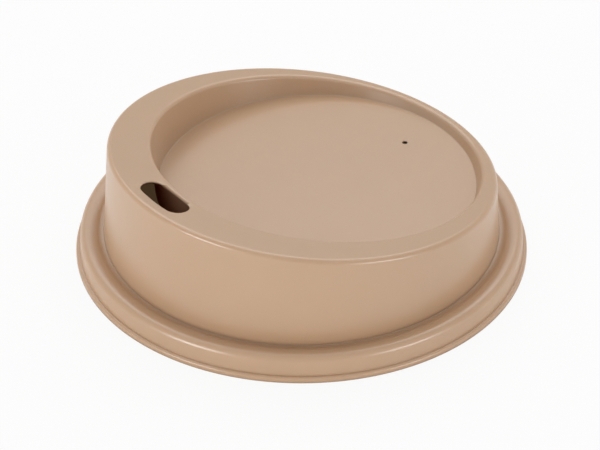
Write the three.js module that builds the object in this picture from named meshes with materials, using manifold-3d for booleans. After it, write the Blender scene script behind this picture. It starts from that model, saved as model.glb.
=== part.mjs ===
import * as THREE from 'three';
import { LoftGeometry } from 'three/addons/geometries/LoftGeometry.js';
import { mergeVertices } from 'three/addons/utils/BufferGeometryUtils.js';
import Module from 'manifold-3d';

// A drink-through lid for a hot cup, formed in one piece from a thin plastic sheet.
// Millimetres, +Z up. The origin is on the axis of the cup, in the plane of the cut lower
// edge that the lid stands on, and the sip hole is toward -Y.

// Sheet
const wall = 0.5;

// Skirt that grips the rolled rim of the cup, and the cut lip at its foot
const skirtRadius = 45.72;
const skirtLean = 0.07;
const lipProjection = 0.78;
const lipHeight = 1.2;
const lipRounding = 0.55;
const lipFootRounding = 0.3;

// Bead over the rolled rim
const beadHeight = 5.45;
const beadWidth = 2.7;
const beadInnerRounding = 1.6;
const beadOuterRounding = 1.5;

// Groove between the bead and the side wall
const grooveWidth = 0.9;
const grooveDepth = 0.8;
const grooveRounding = 0.7;
const beadInnerLean = 1.5;

// Side wall, which leans in toward the top
const sideLean = 0.07;

// Well in the top, set off toward the back, with a level floor
const wellFloorHeight = 13.8;
const wellDepthAtSip = 11.3;
const wellDepthAtBack = 1.85;
const landWidthAtSip = 9.8;
const landWidthAtBack = 1.8;
const wellWallBatter = 1.1;

// Rounded edges of the top
const topEdgeRounding = 1;
const wellRimRounding = 0.9;
const wellFootRounding = 0.5;

// Sip hole in the wide part of the land
const sipHoleWidth = 13;
const sipHoleLength = 5.3;
const sipHoleFromSide = 3;
const sipHoleRounding = 2.3;

// Vent in the floor of the well, opposite the sip hole
const ventDiameter = 1.2;
const ventFromWellWall = 9.4;

// Fineness of the mesh
const slices = 64;
const stepsPerRounding = 2;
const stepsPerTopRounding = 3;
const ventSides = 12;
const sipHoleCurveSegments = 6;
const weldDistance = 1e-5;

// Sizes that follow from the ones above
const lipRadius = skirtRadius + lipProjection;
const skirtTopRadius = skirtRadius - skirtLean * (beadHeight - lipHeight);
const beadInnerRadius = skirtTopRadius - beadWidth;
const grooveHeight = beadHeight - grooveDepth;
const grooveOuterRadius = beadInnerRadius - beadInnerLean * grooveDepth;
const sideFootRadius = grooveOuterRadius - grooveWidth;
const landHeightAtWellCentre = wellFloorHeight + (wellDepthAtSip + wellDepthAtBack) / 2;
const shoulderRadius = sideFootRadius - sideLean * (landHeightAtWellCentre - grooveHeight);
const wellRimRadius = shoulderRadius - (landWidthAtSip + landWidthAtBack) / 2;
const wellOffset = (landWidthAtSip - landWidthAtBack) / 2;
const wellFloorRadius = wellRimRadius - wellWallBatter;
const landSlope = (wellDepthAtSip - wellDepthAtBack) / (2 * wellRimRadius);

/** Where the line through a and b meets the line through c and d, in a radial plane. */
function crossing(a, b, c, d) {
  const along = b.clone().sub(a);
  const other = d.clone().sub(c);
  const share = c.clone().sub(a).cross(other) / along.cross(other);
  return a.clone().addScaledVector(along, share);
}

/** The unit vector square to the step from a to b, toward the inside of the lid. */
function inward(a, b) {
  const step = b.clone().sub(a).normalize();
  return new THREE.Vector2(step.y, -step.x);
}

/** The same path on the other face of the sheet, at a distance that is the same all along. */
function offsetPath(path, distance) {
  const shifted = path.slice(1).map(({ at: end }, i) => {
    const start = path[i].at;
    const shift = inward(start, end).multiplyScalar(distance);
    return [start.clone().add(shift), end.clone().add(shift)];
  });
  return path.map(({ at, rounding, steps }, i) => {
    const before = shifted[i - 1] ?? shifted[i];
    const after = shifted[i] ?? before;
    if (before === after) return { at: i === 0 ? before[0] : before[1], rounding, steps };
    const turn = inward(...before).cross(inward(...after));
    const bend = turn < 0 ? Math.max(rounding - distance, 0) : rounding + distance;
    return { at: crossing(...before, ...after), rounding: rounding > 0 ? bend : 0, steps };
  });
}

/** The points of a path, with an arc in place of each corner that has a rounding. */
function roundedPoints(path) {
  return path.flatMap(({ at, rounding, steps }, i) => {
    if (!steps) return [at];
    const back = path[i - 1].at.clone().sub(at);
    const forth = path[i + 1].at.clone().sub(at);
    const halfAngle = Math.acos(back.clone().normalize().dot(forth.clone().normalize())) / 2;
    const room = Math.min(back.length(), forth.length()) / 2;
    const cut = Math.min(rounding / Math.tan(halfAngle), room);
    const start = at.clone().addScaledVector(back.normalize(), cut);
    const end = at.clone().addScaledVector(forth.normalize(), cut);
    const middle = back.clone().add(forth).normalize();
    const radius = cut * Math.tan(halfAngle);
    const centre = at.clone().addScaledVector(middle, radius / Math.sin(halfAngle));
    const fromAngle = start.clone().sub(centre).angle();
    const sweep = end.clone().sub(centre).angle() - fromAngle;
    const shortSweep = Math.atan2(Math.sin(sweep), Math.cos(sweep));
    return Array.from({ length: steps + 1 }, (_, k) => {
      const angle = fromAngle + (shortSweep * k) / steps;
      return new THREE.Vector2(Math.cos(angle), Math.sin(angle)).multiplyScalar(radius).add(centre);
    });
  });
}

/** One corner of a path: its radius and height, and how it is rounded. */
function corner(radius, height, rounding = 0, steps = 0) {
  return { at: new THREE.Vector2(radius, height), rounding, steps };
}

/** The height of the land at a plan position along Y. */
function landHeight(y) {
  return landHeightAtWellCentre - landSlope * (y - wellOffset);
}

/** The top face inside the land, in the plane that leaves the axis of the well at an angle. */
function wellPath(angle) {
  const rimHeight = landHeight(wellOffset + wellRimRadius * Math.sin(angle));
  const landRadius = wellRimRadius + landWidthAtBack / 2;
  return [
    corner(0, wellFloorHeight),
    corner(wellFloorRadius, wellFloorHeight, wellFootRounding, stepsPerRounding),
    corner(wellRimRadius, rimHeight, wellRimRounding, stepsPerRounding),
    corner(landRadius, landHeight(wellOffset + landRadius * Math.sin(angle))),
  ];
}

/** The outer face from the land to the foot, in the plane that leaves the axis of the cup. */
function sidePath(angle) {
  const land = [0, shoulderRadius].map(
    (radius) => new THREE.Vector2(radius, landHeight(radius * Math.sin(angle))));
  const side = [
    new THREE.Vector2(shoulderRadius, landHeightAtWellCentre),
    new THREE.Vector2(sideFootRadius, grooveHeight),
  ];
  const edge = crossing(...land, ...side);
  const landRadius = edge.x - landWidthAtBack / 2;
  return [
    corner(landRadius, landHeight(landRadius * Math.sin(angle))),
    { at: edge, rounding: topEdgeRounding, steps: stepsPerTopRounding },
    corner(sideFootRadius, grooveHeight, grooveRounding, stepsPerRounding),
    corner(grooveOuterRadius, grooveHeight, grooveRounding, stepsPerRounding),
    corner(beadInnerRadius, beadHeight, beadInnerRounding, stepsPerTopRounding),
    corner(skirtTopRadius, beadHeight, beadOuterRounding, stepsPerTopRounding),
    corner(skirtRadius, lipHeight, lipFootRounding, stepsPerRounding),
    corner(lipRadius, lipHeight, lipRounding, stepsPerRounding),
    corner(lipRadius, 0),
  ];
}

/** Places points of a radial plane in space, around an axis that is offset along Y. */
function placed(points, angle, offset) {
  return points.map((point) => new THREE.Vector3(
    point.x * Math.cos(angle), offset + point.x * Math.sin(angle), point.y));
}

/** The section of the sheet at an angle: out along its underside, and back over the top. */
function sectionAt(angle) {
  const faces = [0, wall].map((distance) => {
    const well = roundedPoints(offsetPath(wellPath(angle), distance)).slice(0, -1);
    const side = roundedPoints(offsetPath(sidePath(angle), distance)).slice(1);
    return [...placed(well, angle, wellOffset), ...placed(side, angle, 0)];
  });
  return [...faces[1], ...faces[0].reverse()];
}

/** The sheet as a loft through rings that run round the lid and close up on the well's axis. */
function sheetGeometry() {
  const sections = Array.from({ length: slices }, (_, i) => sectionAt((2 * Math.PI * i) / slices));
  const rings = sections[0].map((_, k) => sections.map((section) => section[k]));
  return new LoftGeometry(rings);
}

/** A cutter for the sip hole: straight inside, bowed with the side wall outside, round corners. */
function sipHoleCutter() {
  const outerRadius = shoulderRadius - sipHoleFromSide;
  const innerDistance = outerRadius - sipHoleLength;
  const cornerX = sipHoleWidth / 2 - sipHoleRounding;
  const outerTurn = Math.asin(cornerX / (outerRadius - sipHoleRounding));
  const outerCornerY = -(outerRadius - sipHoleRounding) * Math.cos(outerTurn);
  const innerCornerY = -(innerDistance + sipHoleRounding);
  const down = -Math.PI / 2;
  const outline = new THREE.Shape();
  outline.absarc(0, 0, outerRadius, down - outerTurn, down + outerTurn);
  outline.absarc(cornerX, outerCornerY, sipHoleRounding, down + outerTurn, 0);
  outline.absarc(cornerX, innerCornerY, sipHoleRounding, 0, Math.PI / 2);
  outline.absarc(-cornerX, innerCornerY, sipHoleRounding, Math.PI / 2, Math.PI);
  outline.absarc(-cornerX, outerCornerY, sipHoleRounding, Math.PI, 1.5 * Math.PI - outerTurn);
  outline.closePath();
  const cutter = new THREE.ExtrudeGeometry(outline, {
    depth: 2 * wellDepthAtSip, bevelEnabled: false, curveSegments: sipHoleCurveSegments,
  });
  return cutter.translate(0, 0, wellFloorHeight);
}

/** A cutter for the vent. */
function ventCutter() {
  const radius = ventDiameter / 2;
  return new THREE.CylinderGeometry(radius, radius, wellDepthAtSip, ventSides)
    .rotateX(Math.PI / 2)
    .translate(0, wellOffset + wellFloorRadius - ventFromWellWall, wellFloorHeight);
}

const wasm = await Module();
wasm.setup();

/** A closed solid from a geometry, without the faces that have shrunk to a line. */
function toSolid(geometry) {
  const plain = new THREE.BufferGeometry().copy(geometry);
  plain.deleteAttribute('normal');
  plain.deleteAttribute('uv');
  const merged = mergeVertices(plain, weldDistance);
  const corners = merged.index.array;
  const faces = Array.from({ length: corners.length / 3 }, (_, i) => corners.slice(3 * i, 3 * i + 3));
  const whole = faces.filter((face) => new Set(face).size === 3);
  return new wasm.Manifold(new wasm.Mesh({
    numProp: 3,
    vertProperties: new Float32Array(merged.attributes.position.array),
    triVerts: new Uint32Array(whole.flatMap((face) => [...face])),
  }));
}

/** A geometry from a closed solid. */
function toGeometry(solid) {
  const { vertProperties, triVerts } = solid.getMesh();
  const geometry = new THREE.BufferGeometry();
  geometry.setAttribute('position', new THREE.BufferAttribute(new Float32Array(vertProperties), 3));
  geometry.setIndex(new THREE.BufferAttribute(new Uint32Array(triVerts), 1));
  geometry.computeVertexNormals();
  return geometry;
}

const tanPlastic = new THREE.MeshStandardMaterial({ color: 0xc2a88d, roughness: 0.42, metalness: 0 });

const lidSolid = toSolid(sheetGeometry())
  .subtract(toSolid(sipHoleCutter()))
  .subtract(toSolid(ventCutter()));
const lid = new THREE.Mesh(toGeometry(lidSolid), tanPlastic);
lid.name = 'cup_lid';

const model = new THREE.Group();
model.add(lid);

export default model;
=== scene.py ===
"""A drink-through lid for a hot cup, formed from one thin sheet of satin tan plastic.

The lid is one piece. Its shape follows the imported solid, with finer roundings, and it replaces
that solid in the picture. Sizes are in millimetres in the classes, and the meshes are in metres.
"""

import logging
import math
from dataclasses import dataclass
from typing import Callable

import bmesh
import bpy
from bmesh.types import BMEdge, BMesh, BMVert
from bpy.types import Camera, Light, Material, Mesh, Node, NodeTree, Object, World
from mathutils import Matrix, Vector


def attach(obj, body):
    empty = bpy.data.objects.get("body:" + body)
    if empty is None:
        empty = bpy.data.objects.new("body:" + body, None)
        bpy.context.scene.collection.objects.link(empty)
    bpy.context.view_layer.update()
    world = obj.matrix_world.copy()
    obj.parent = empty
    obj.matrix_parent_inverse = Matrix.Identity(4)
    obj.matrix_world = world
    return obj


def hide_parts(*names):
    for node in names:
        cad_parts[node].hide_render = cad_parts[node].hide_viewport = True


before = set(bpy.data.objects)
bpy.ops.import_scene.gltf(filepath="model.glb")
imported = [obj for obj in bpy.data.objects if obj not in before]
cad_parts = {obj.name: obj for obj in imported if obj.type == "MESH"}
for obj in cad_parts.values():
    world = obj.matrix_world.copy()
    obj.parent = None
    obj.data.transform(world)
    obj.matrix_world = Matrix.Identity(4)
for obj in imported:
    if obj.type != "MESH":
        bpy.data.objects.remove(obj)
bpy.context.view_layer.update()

MM = 0.001
CHANNEL_MAX = 255
SRGB_KNEE = 0.04045
SRGB_LOW_SLOPE = 12.92
SRGB_OFFSET = 0.055
SRGB_POWER = 2.4
MIX_FROM = 6
MIX_TO = 7
MIX_RESULT = 2
INWARD = -1.0
KEEP_MATERIAL = -1
log = logging.getLogger("cup_lid")


def linear_rgba(hex_code: str) -> tuple[float, float, float, float]:
    """Turns an sRGB colour into linear light.

    Args:
        hex_code: The colour as six hex digits, with or without a leading #.

    Returns:
        The linear red, green and blue, with an alpha of 1.
    """
    digits = hex_code.lstrip("#")
    channels = [int(digits[i:i + 2], 16) / CHANNEL_MAX for i in (0, 2, 4)]
    light = [c / SRGB_LOW_SLOPE if c <= SRGB_KNEE
             else ((c + SRGB_OFFSET) / (1 + SRGB_OFFSET)) ** SRGB_POWER for c in channels]
    return light[0], light[1], light[2], 1.0


def add_node(tree: NodeTree, kind: str, settings: dict | None = None,
             inputs: dict | None = None) -> Node:
    """Adds a node with its settings, and sets or links its inputs.

    Args:
        tree: The node tree that takes the node.
        kind: The node's type name.
        settings: Properties of the node, by name.
        inputs: Values or output sockets, by the name or number of the input they go to.

    Returns:
        The new node.
    """
    node = tree.nodes.new(kind)
    for name, value in (settings or {}).items():
        setattr(node, name, value)
    for name, value in (inputs or {}).items():
        if isinstance(value, bpy.types.NodeSocket):
            tree.links.new(value, node.inputs[name])
        else:
            node.inputs[name].default_value = value
    return node


def new_tree(owner: Material | World) -> NodeTree:
    """Empties the node tree of a material or a world.

    Args:
        owner: The material or world.

    Returns:
        Its node tree, with no node left.
    """
    owner.use_nodes = True
    owner.node_tree.nodes.clear()
    return owner.node_tree


def new_object(name: str, data: Mesh | Light | Camera) -> Object:
    """Puts a mesh, a lamp or a camera into the scene.

    Args:
        name: The name of the new object.
        data: What the object shows.

    Returns:
        The new object.
    """
    item = bpy.data.objects.new(name, data)
    bpy.context.scene.collection.objects.link(item)
    return item


def new_mesh_object(name: str, bm: BMesh) -> Object:
    """Turns a bmesh into an object in the scene, and frees it.

    Args:
        name: The name of the new mesh and object.
        bm: The finished bmesh.

    Returns:
        The new object.
    """
    mesh = bpy.data.meshes.new(name)
    bm.to_mesh(mesh)
    bm.free()
    return new_object(name, mesh)


def direction(turn: float, rise: float) -> Vector:
    """The direction from the lid toward a lamp or a camera.

    Args:
        turn: The angle round from the sip side, in radians.
        rise: The angle above the floor, in radians.

    Returns:
        A vector of length 1.
    """
    return Vector((math.sin(turn) * math.cos(rise), -math.cos(turn) * math.cos(rise),
                   math.sin(rise)))


@dataclass(frozen=True)
class SatinPolystyrene:
    """High-impact polystyrene sheet, vacuum formed over a satin tool.

    The sheet gives broad soft highlights, with a very slight cloudiness in colour and gloss.
    """

    name: str = "satin_polystyrene"
    colour: str = "#C2A081"
    deep_colour: str = "#BD9C7C"
    cloud_size: float = 9.0
    cloud_detail: float = 3.0
    roughness: float = 0.3
    roughness_spread: float = 0.04
    ior: float = 1.59
    gloss: float = 0.75
    glow_depth: float = 1.0
    glow_weight: float = 0.35
    glow_spread: tuple[float, float, float] = (1.0, 0.6, 0.4)

    def build(self) -> Material:
        """Makes the material.

        Returns:
            The finished material, which reads Object coordinates in metres.
        """
        material = bpy.data.materials.new(self.name)
        tree = new_tree(material)
        place = add_node(tree, "ShaderNodeTexCoord").outputs["Object"]
        cloud = add_node(tree, "ShaderNodeTexNoise", {}, {
            "Vector": place, "Scale": 1 / (self.cloud_size * MM),
            "Detail": self.cloud_detail})
        colour = add_node(tree, "ShaderNodeMix", {"data_type": "RGBA"}, {
            "Factor": cloud.outputs["Fac"],
            MIX_FROM: linear_rgba(self.colour), MIX_TO: linear_rgba(self.deep_colour)})
        rough = add_node(tree, "ShaderNodeMapRange", {}, {
            "Value": cloud.outputs["Fac"],
            "To Min": self.roughness - self.roughness_spread / 2,
            "To Max": self.roughness + self.roughness_spread / 2})
        shader = add_node(tree, "ShaderNodeBsdfPrincipled", {}, {
            "Base Color": colour.outputs[MIX_RESULT], "Roughness": rough.outputs["Result"],
            "IOR": self.ior, "Specular IOR Level": self.gloss,
            "Subsurface Weight": self.glow_weight,
            "Subsurface Scale": self.glow_depth * MM,
            "Subsurface Radius": self.glow_spread})
        add_node(tree, "ShaderNodeOutputMaterial", {}, {"Surface": shader.outputs["BSDF"]})
        return material


@dataclass
class FormedLid:
    """The lid, from its cut lower edge over the bead and the side wall to the well in its top.

    Sizes are in millimetres. The origin is on the axis of the cup, in the plane of the cut
    edge, and the sip hole is toward -Y.
    """

    wall: float = 0.5
    skirt_radius: float = 45.72
    skirt_lean: float = 0.07
    lip_projection: float = 0.78
    lip_height: float = 1.2
    lip_rounding: float = 0.55
    lip_foot_rounding: float = 0.06
    bead_height: float = 5.45
    bead_width: float = 2.7
    bead_inner_rounding: float = 0.95
    bead_outer_rounding: float = 1.45
    groove_width: float = 0.9
    groove_depth: float = 0.8
    groove_inner_rounding: float = 0.12
    groove_outer_rounding: float = 0.45
    bead_inner_lean: float = 1.5
    side_lean: float = 0.07
    well_floor_height: float = 13.8
    well_depth_at_sip: float = 11.3
    well_depth_at_back: float = 1.85
    land_width_at_sip: float = 9.8
    land_width_at_back: float = 1.8
    well_wall_batter: float = 1.1
    top_edge_rounding: float = 1.0
    well_rim_rounding: float = 0.75
    well_foot_rounding: float = 0.15
    sip_hole_width: float = 13.0
    sip_hole_length: float = 5.3
    sip_hole_from_side: float = 3.0
    sip_hole_rounding: float = 2.3
    sip_hole_bow_steps: int = 4
    vent_diameter: float = 1.2
    vent_from_well_wall: float = 9.4
    slices: int = 256
    steps_per_rounding: int = 8
    vent_sides: int = 32
    round_profile: float = 0.5
    flat_face_weight: int = 100
    touch: float = 0.01
    merge_distance: float = 0.001

    @property
    def lip_radius(self) -> float:
        """The outermost radius of the lid."""
        return self.skirt_radius + self.lip_projection

    @property
    def skirt_top_radius(self) -> float:
        """The radius of the skirt where it would meet the top of the bead."""
        return self.skirt_radius - self.skirt_lean * (self.bead_height - self.lip_height)

    @property
    def bead_inner_radius(self) -> float:
        """The radius of the bead's inner face at its top."""
        return self.skirt_top_radius - self.bead_width

    @property
    def groove_height(self) -> float:
        """The height of the bottom of the groove."""
        return self.bead_height - self.groove_depth

    @property
    def groove_outer_radius(self) -> float:
        """The radius of the groove's bottom on the bead's side."""
        return self.bead_inner_radius - self.bead_inner_lean * self.groove_depth

    @property
    def side_foot_radius(self) -> float:
        """The radius of the side wall at the bottom of the groove."""
        return self.groove_outer_radius - self.groove_width

    @property
    def land_height_at_well_centre(self) -> float:
        """The height of the slanted land over the middle of the well."""
        return self.well_floor_height + (self.well_depth_at_sip + self.well_depth_at_back) / 2

    @property
    def shoulder_radius(self) -> float:
        """The radius of the side wall at the height of the land over the well's middle."""
        return self.side_radius(self.land_height_at_well_centre)

    @property
    def well_rim_radius(self) -> float:
        """The radius of the well where its wall meets the land."""
        return self.shoulder_radius - (self.land_width_at_sip + self.land_width_at_back) / 2

    @property
    def well_offset(self) -> float:
        """How far the well's middle lies behind the axis of the cup."""
        return (self.land_width_at_sip - self.land_width_at_back) / 2

    @property
    def well_floor_radius(self) -> float:
        """The radius of the well's floor."""
        return self.well_rim_radius - self.well_wall_batter

    @property
    def sip_cutter_height(self) -> float:
        """The height of the sip hole's cutter, which clears the top of the lid by far."""
        return self.lip_radius

    @property
    def land_slope(self) -> float:
        """The fall of the land in millimetres for each millimetre from the sip to the back."""
        return (self.well_depth_at_sip - self.well_depth_at_back) / (2 * self.well_rim_radius)

    def side_radius(self, height: float) -> float:
        """The radius of the side wall at a height."""
        return self.side_foot_radius - self.side_lean * (height - self.groove_height)

    def land_height(self, y: float) -> float:
        """The height of the land at a place along Y."""
        return self.land_height_at_well_centre - self.land_slope * (y - self.well_offset)

    def edge_loop(self, bm: BMesh, on_curve: Callable[[Vector], bool]) -> list[BMEdge]:
        """Finds the edges whose two ends both lie on a curve.

        Args:
            bm: The mesh to search, in millimetres.
            on_curve: Says whether a point lies on the curve.

        Returns:
            The edges, in no special order.
        """
        return [e for e in bm.edges if all(on_curve(v.co) for v in e.verts)]

    def ring_edges(self, bm: BMesh, radius: float, height: float,
                   offset: float = 0.0) -> list[BMEdge]:
        """Finds the edges of a level ring.

        Args:
            bm: The mesh to search, in millimetres.
            radius: The ring's radius.
            height: The ring's height.
            offset: How far the ring's middle lies along Y.

        Returns:
            The ring's edges.
        """
        def on_ring(point: Vector) -> bool:
            """Says whether a point lies on the ring."""
            reach = math.hypot(point.x, point.y - offset)
            return abs(reach - radius) < self.touch and abs(point.z - height) < self.touch
        return self.edge_loop(bm, on_ring)

    def round_off(self, bm: BMesh, edges: list[BMEdge], rounding: float) -> None:
        """Rounds the fold of the sheet along a loop of edges.

        Args:
            bm: The mesh that holds the edges.
            edges: The edges of one loop.
            rounding: The distance from the edge at which the rounding starts.
        """
        bmesh.ops.bevel(bm, geom=edges, offset=rounding, offset_type="OFFSET",
                        affect="EDGES", segments=self.steps_per_rounding,
                        profile=self.round_profile, material=KEEP_MATERIAL)

    def spin_side(self, bm: BMesh) -> None:
        """Spins the outer face, from above the land down the side wall to the cut edge.

        Args:
            bm: The mesh that takes the face, in millimetres.
        """
        top = self.land_height(-self.lip_radius)
        corners = [
            (self.side_radius(top), top),
            (self.side_foot_radius, self.groove_height),
            (self.groove_outer_radius, self.groove_height),
            (self.bead_inner_radius, self.bead_height),
            (self.skirt_top_radius, self.bead_height),
            (self.skirt_radius, self.lip_height),
            (self.lip_radius, self.lip_height),
            (self.lip_radius, 0.0),
        ]
        verts: list[BMVert] = [bm.verts.new((radius, 0.0, height)) for radius, height in corners]
        edges = [bm.edges.new(pair) for pair in zip(verts, verts[1:])]
        bmesh.ops.spin(bm, geom=verts + edges, axis=(0, 0, 1), cent=(0, 0, 0),
                       angle=2 * math.pi, steps=self.slices, use_merge=True)

    def close_top(self, bm: BMesh) -> None:
        """Cuts the side wall along the slanted land, and adds the land, the well and its floor.

        The rim of the well is a level circle, which a shear lays onto the slanted land.

        Args:
            bm: The mesh that holds the side wall, in millimetres.
        """
        everything = bm.verts[:] + bm.edges[:] + bm.faces[:]
        bmesh.ops.bisect_plane(bm, geom=everything, plane_co=(0, 0, self.land_height(0.0)),
                               plane_no=Vector((0, self.land_slope, 1)).normalized(),
                               clear_outer=True)
        slant = Matrix.Translation((0, self.well_offset, self.land_height_at_well_centre))
        slant[2][1] = -self.land_slope
        level = Matrix.Translation((0, self.well_offset, self.well_floor_height))
        bmesh.ops.create_circle(bm, segments=self.slices, radius=self.well_rim_radius,
                                matrix=slant)
        bmesh.ops.create_circle(bm, segments=self.slices, radius=self.well_floor_radius,
                                matrix=level, cap_ends=True)
        shoulder, rim, floor = self.shoulder_edges(bm), self.rim_edges(bm), self.floor_edges(bm)
        bmesh.ops.bridge_loops(bm, edges=shoulder + rim)
        bmesh.ops.bridge_loops(bm, edges=self.rim_edges(bm) + floor)

    def shoulder_edges(self, bm: BMesh) -> list[BMEdge]:
        """Finds the edges where the side wall meets the land.

        Args:
            bm: The mesh to search, in millimetres.

        Returns:
            The edges of that loop.
        """
        def on_shoulder(point: Vector) -> bool:
            """Says whether a point lies on the side wall and on the land."""
            reach = math.hypot(point.x, point.y)
            return (abs(point.z - self.land_height(point.y)) < self.touch
                    and abs(reach - self.side_radius(point.z)) < self.touch)
        return self.edge_loop(bm, on_shoulder)

    def rim_edges(self, bm: BMesh) -> list[BMEdge]:
        """Finds the edges where the land meets the wall of the well.

        Args:
            bm: The mesh to search, in millimetres.

        Returns:
            The edges of that loop.
        """
        def on_rim(point: Vector) -> bool:
            """Says whether a point lies on the land and on the rim of the well."""
            reach = math.hypot(point.x, point.y - self.well_offset)
            return (abs(point.z - self.land_height(point.y)) < self.touch
                    and abs(reach - self.well_rim_radius) < self.touch)
        return self.edge_loop(bm, on_rim)

    def floor_edges(self, bm: BMesh) -> list[BMEdge]:
        """Finds the edges where the wall of the well meets its floor."""
        return self.ring_edges(bm, self.well_floor_radius, self.well_floor_height,
                               self.well_offset)

    def round_edges(self, bm: BMesh) -> None:
        """Rounds every fold of the sheet.

        Args:
            bm: The mesh of the outer face, in millimetres.
        """
        folds = [
            (self.side_foot_radius, self.groove_height, self.groove_inner_rounding),
            (self.groove_outer_radius, self.groove_height, self.groove_outer_rounding),
            (self.bead_inner_radius, self.bead_height, self.bead_inner_rounding),
            (self.skirt_top_radius, self.bead_height, self.bead_outer_rounding),
            (self.skirt_radius, self.lip_height, self.lip_foot_rounding),
            (self.lip_radius, self.lip_height, self.lip_rounding),
        ]
        for radius, height, rounding in folds:
            self.round_off(bm, self.ring_edges(bm, radius, height), rounding)
        self.round_off(bm, self.shoulder_edges(bm), self.top_edge_rounding)
        self.round_off(bm, self.rim_edges(bm), self.well_rim_rounding)
        self.round_off(bm, self.floor_edges(bm), self.well_foot_rounding)

    def skin(self) -> Object:
        """Makes the outer face of the sheet, and gives it the thickness of the sheet.

        Returns:
            The closed sheet, in millimetres, without its holes.
        """
        bm = bmesh.new()
        self.spin_side(bm)
        self.close_top(bm)
        bmesh.ops.remove_doubles(bm, verts=bm.verts, dist=self.merge_distance)
        self.round_edges(bm)
        bmesh.ops.recalc_face_normals(bm, faces=bm.faces)
        sheet = new_mesh_object("lid_sheet", bm)
        thickness = sheet.modifiers.new("sheet thickness", "SOLIDIFY")
        thickness.thickness = self.wall
        thickness.offset = INWARD
        thickness.use_even_offset = True
        return sheet

    def sip_hole_cutter(self) -> Object:
        """Makes the cutter of the sip hole, bowed with the side wall and round at its corners.

        Each step of the bow is longer than the rounding, so that the corners get all of it.

        Returns:
            The cutter, which reaches from the well's floor to far above the land.
        """
        outer = self.shoulder_radius - self.sip_hole_from_side
        turn = math.asin(self.sip_hole_width / 2 / outer)
        bm = bmesh.new()
        start = bm.verts.new((-outer * math.sin(turn), -outer * math.cos(turn), 0))
        spun = bmesh.ops.spin(bm, geom=[start], axis=(0, 0, 1), cent=(0, 0, 0),
                              angle=2 * turn, steps=self.sip_hole_bow_steps)
        end = next(item for item in spun["geom_last"] if isinstance(item, BMVert))
        inner_y = -(outer - self.sip_hole_length)
        inner = [bm.verts.new((side * self.sip_hole_width / 2, inner_y, 0)) for side in (1, -1)]
        for pair in ((end, inner[0]), inner, (inner[1], start)):
            bm.edges.new(pair)
        bmesh.ops.contextual_create(bm, geom=bm.edges[:])
        corners = [v for v in bm.verts if v in (start, end, *inner)]
        bmesh.ops.bevel(bm, geom=corners, offset=self.sip_hole_rounding, offset_type="OFFSET",
                        affect="VERTICES", segments=self.steps_per_rounding,
                        profile=self.round_profile, material=KEEP_MATERIAL)
        bmesh.ops.translate(bm, verts=bm.verts, vec=(0, 0, self.well_floor_height))
        grown = bmesh.ops.extrude_face_region(bm, geom=bm.faces[:])
        tops = [item for item in grown["geom"] if isinstance(item, BMVert)]
        bmesh.ops.translate(bm, verts=tops, vec=(0, 0, self.sip_cutter_height))
        bmesh.ops.recalc_face_normals(bm, faces=bm.faces)
        return new_mesh_object("sip_hole_cutter", bm)

    def vent_cutter(self) -> Object:
        """Makes the cutter of the vent.

        Returns:
            The cutter, half of it below the floor of the well.
        """
        bm = bmesh.new()
        y = self.well_offset + self.well_floor_radius - self.vent_from_well_wall
        bmesh.ops.create_cone(bm, cap_ends=True, segments=self.vent_sides,
                              radius1=self.vent_diameter / 2, radius2=self.vent_diameter / 2,
                              depth=self.well_depth_at_sip,
                              matrix=Matrix.Translation((0, y, self.well_floor_height)))
        return new_mesh_object("vent_cutter", bm)

    def punched(self, sheet: Object, cutters: list[Object]) -> Mesh:
        """Cuts the holes through the sheet.

        Args:
            sheet: The closed sheet.
            cutters: The solids to cut away, which are deleted afterwards.

        Returns:
            The mesh of the sheet with its holes.
        """
        for cutter in cutters:
            cut = sheet.modifiers.new(cutter.name, "BOOLEAN")
            cut.operation = "DIFFERENCE"
            cut.solver = "EXACT"
            cut.object = cutter
        graph = bpy.context.evaluated_depsgraph_get()
        mesh = bpy.data.meshes.new_from_object(sheet.evaluated_get(graph))
        for spent in [sheet, *cutters]:
            bpy.data.objects.remove(spent)
        return mesh

    def build(self, finish: Material) -> Object:
        """Builds the lid and dresses it.

        Args:
            finish: The material of the sheet.

        Returns:
            The finished piece, in metres, riding on the body of the lid.
        """
        mesh = self.punched(self.skin(), [self.sip_hole_cutter(), self.vent_cutter()])
        bm = bmesh.new()
        bm.from_mesh(mesh)
        bmesh.ops.scale(bm, verts=bm.verts, vec=(MM, MM, MM))
        for face in bm.faces:
            face.smooth = True
        bm.to_mesh(mesh)
        bm.free()
        mesh.name = "formed_lid"
        mesh.materials.clear()
        mesh.materials.append(finish)
        lid = new_object("formed_lid", mesh)
        weigh = lid.modifiers.new("flat faces stay flat", "WEIGHTED_NORMAL")
        weigh.mode = "FACE_AREA"
        weigh.weight = self.flat_face_weight
        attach(lid, "root")
        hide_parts("cup_lid")
        return lid


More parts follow.
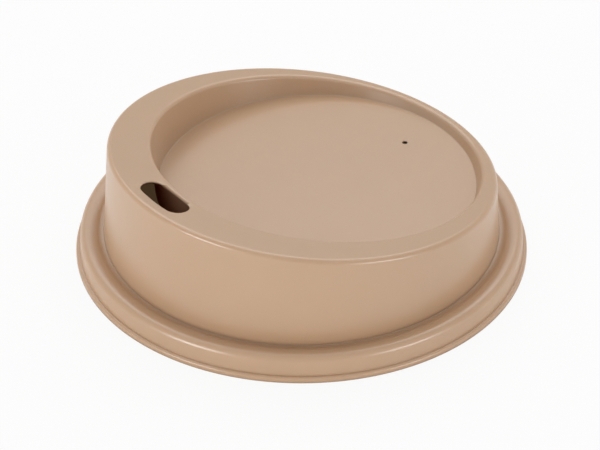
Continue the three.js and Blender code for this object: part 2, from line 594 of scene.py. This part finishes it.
@dataclass(frozen=True)
class PaleFloor:
    """A flat white card, which shows white and still takes the shadow of the lid.

    It is painted dark brown where the lid covers it, a painted shade, so that the inside seen
    through the sip hole is dark.
    """

    name: str = "white_card"
    colour: str = "#FDFDFD"
    reach: float = 4000.0
    own_white: float = 0.9
    # The reach, blend and colour of a disc of painted shade under the lid.
    painted_shade_reach: float = 44.0
    painted_shade_blend: float = 2.0
    painted_shade_colour: str = "#453423"

    def material(self) -> Material:
        """Makes the material of the card.

        Returns:
            A matte white that is mostly plain white to the camera, with a disc of painted shade
            under the lid.
        """
        material = bpy.data.materials.new(self.name)
        tree = new_tree(material)
        ray = add_node(tree, "ShaderNodeLightPath")
        place = add_node(tree, "ShaderNodeTexCoord").outputs["Object"]
        reach = add_node(tree, "ShaderNodeVectorMath", {"operation": "LENGTH"}, {0: place})
        # Painted shade: inside the lid's reach the card is dark brown instead of white.
        outside_painted_shade = add_node(tree, "ShaderNodeMapRange", {}, {
            "Value": reach.outputs["Value"], "From Min": self.painted_shade_reach * MM,
            "From Max": (self.painted_shade_reach + self.painted_shade_blend) * MM})
        card_and_painted_shade_colour = add_node(tree, "ShaderNodeMix", {"data_type": "RGBA"}, {
            "Factor": outside_painted_shade.outputs["Result"],
            MIX_FROM: linear_rgba(self.painted_shade_colour), MIX_TO: linear_rgba(self.colour)})
        card = add_node(tree, "ShaderNodeBsdfDiffuse", {}, {
            "Color": card_and_painted_shade_colour.outputs[MIX_RESULT]})
        # To the camera the card shows its own colour, so the painted shade under the lid shows
        # through the sip hole.
        white = add_node(tree, "ShaderNodeEmission", {}, {
            "Color": card_and_painted_shade_colour.outputs[MIX_RESULT]})
        share = add_node(tree, "ShaderNodeMath", {"operation": "MULTIPLY"}, {
            0: ray.outputs["Is Camera Ray"], 1: self.own_white})
        mixed = add_node(tree, "ShaderNodeMixShader", {}, {
            0: share.outputs[0], 1: card.outputs[0], 2: white.outputs[0]})
        add_node(tree, "ShaderNodeOutputMaterial", {}, {"Surface": mixed.outputs[0]})
        return material

    def build(self) -> Object:
        """Builds the floor in the plane of the lid's cut edge.

        Returns:
            The floor's object, in metres.
        """
        bm = bmesh.new()
        bmesh.ops.create_grid(bm, x_segments=1, y_segments=1, size=self.reach * MM / 2)
        floor = new_mesh_object("floor", bm)
        floor.data.materials.append(self.material())
        return floor


@dataclass(frozen=True)
class SoftBox:
    """One large soft lamp that faces the lid."""

    name: str
    azimuth: float
    elevation: float
    distance: float
    width: float
    height: float
    power: float

    def build(self) -> Object:
        """Builds the lamp.

        Returns:
            The lamp's object, in metres.
        """
        out = direction(math.radians(self.azimuth), math.radians(self.elevation))
        light = bpy.data.lights.new(self.name, "AREA")
        light.shape = "RECTANGLE"
        light.size = self.width * MM
        light.size_y = self.height * MM
        light.energy = self.power
        lamp = new_object(self.name, light)
        lamp.location = out * self.distance * MM
        lamp.rotation_euler = out.to_track_quat("Z", "Y").to_euler()
        return lamp


@dataclass(frozen=True)
class Studio:
    """White surroundings, which light the lid less than they show, and the soft lamps."""

    surround_colour: str = "#FFFFFF"
    surround_level: float = 0.57
    seen_level: float = 1.0
    lamps: tuple[SoftBox, ...] = (
        SoftBox("back", azimuth=232.5, elevation=60.0, distance=900.0,
                width=1100.0, height=800.0, power=4.3),
        SoftBox("left", azimuth=2.5, elevation=7.0, distance=900.0,
                width=380.0, height=180.0, power=2.5),
        SoftBox("right", azimuth=101.0, elevation=5.0, distance=900.0,
                width=400.0, height=130.0, power=1.7),
    )

    def build(self) -> None:
        """Builds the world and the lamps."""
        world = bpy.data.worlds.new("white_room")
        bpy.context.scene.world = world
        tree = new_tree(world)
        ray = add_node(tree, "ShaderNodeLightPath")
        level = add_node(tree, "ShaderNodeMapRange", {}, {
            "Value": ray.outputs["Is Camera Ray"],
            "To Min": self.surround_level, "To Max": self.seen_level})
        sky = add_node(tree, "ShaderNodeBackground", {}, {
            "Color": linear_rgba(self.surround_colour), "Strength": level.outputs["Result"]})
        add_node(tree, "ShaderNodeOutputWorld", {}, {"Surface": sky.outputs[0]})
        for lamp in self.lamps:
            lamp.build()
        bpy.context.scene.view_settings.view_transform = "Standard"


@dataclass(frozen=True)
class PhotoCamera:
    """The camera of the photograph, aimed at the origin and shifted to frame the lid."""

    azimuth: float = 52.5
    elevation: float = 35.8
    distance: float = 552.6
    lens: float = 160.16
    sensor: float = 36.0
    picture_width: float = 600.0
    picture_height: float = 450.0
    aim_x: float = 301.55
    aim_y: float = 242.34

    def build(self) -> Object:
        """Builds the camera.

        Returns:
            The camera's object, in metres.
        """
        turn, rise = math.radians(self.azimuth), math.radians(self.elevation)
        data = bpy.data.cameras.new("photo_camera")
        data.sensor_width = self.sensor
        data.lens = self.lens
        data.shift_x = -(self.aim_x - self.picture_width / 2) / self.picture_width
        data.shift_y = (self.aim_y - self.picture_height / 2) / self.picture_width
        camera = new_object("photo_camera", data)
        camera.location = direction(turn, rise) * self.distance * MM
        camera.rotation_euler = (math.pi / 2 - rise, 0.0, turn)
        bpy.context.scene.camera = camera
        return camera


def main() -> None:
    """Builds the camera, the studio and the lid."""
    logging.basicConfig(level=logging.INFO, format="%(name)s: %(message)s")
    PhotoCamera().build()
    Studio().build()
    log.info("floor: %s", PaleFloor().build().name)
    lid = FormedLid().build(SatinPolystyrene().build())
    log.info("%s: %d faces", lid.name, len(lid.data.polygons))


if __name__ == "__main__":
    main()
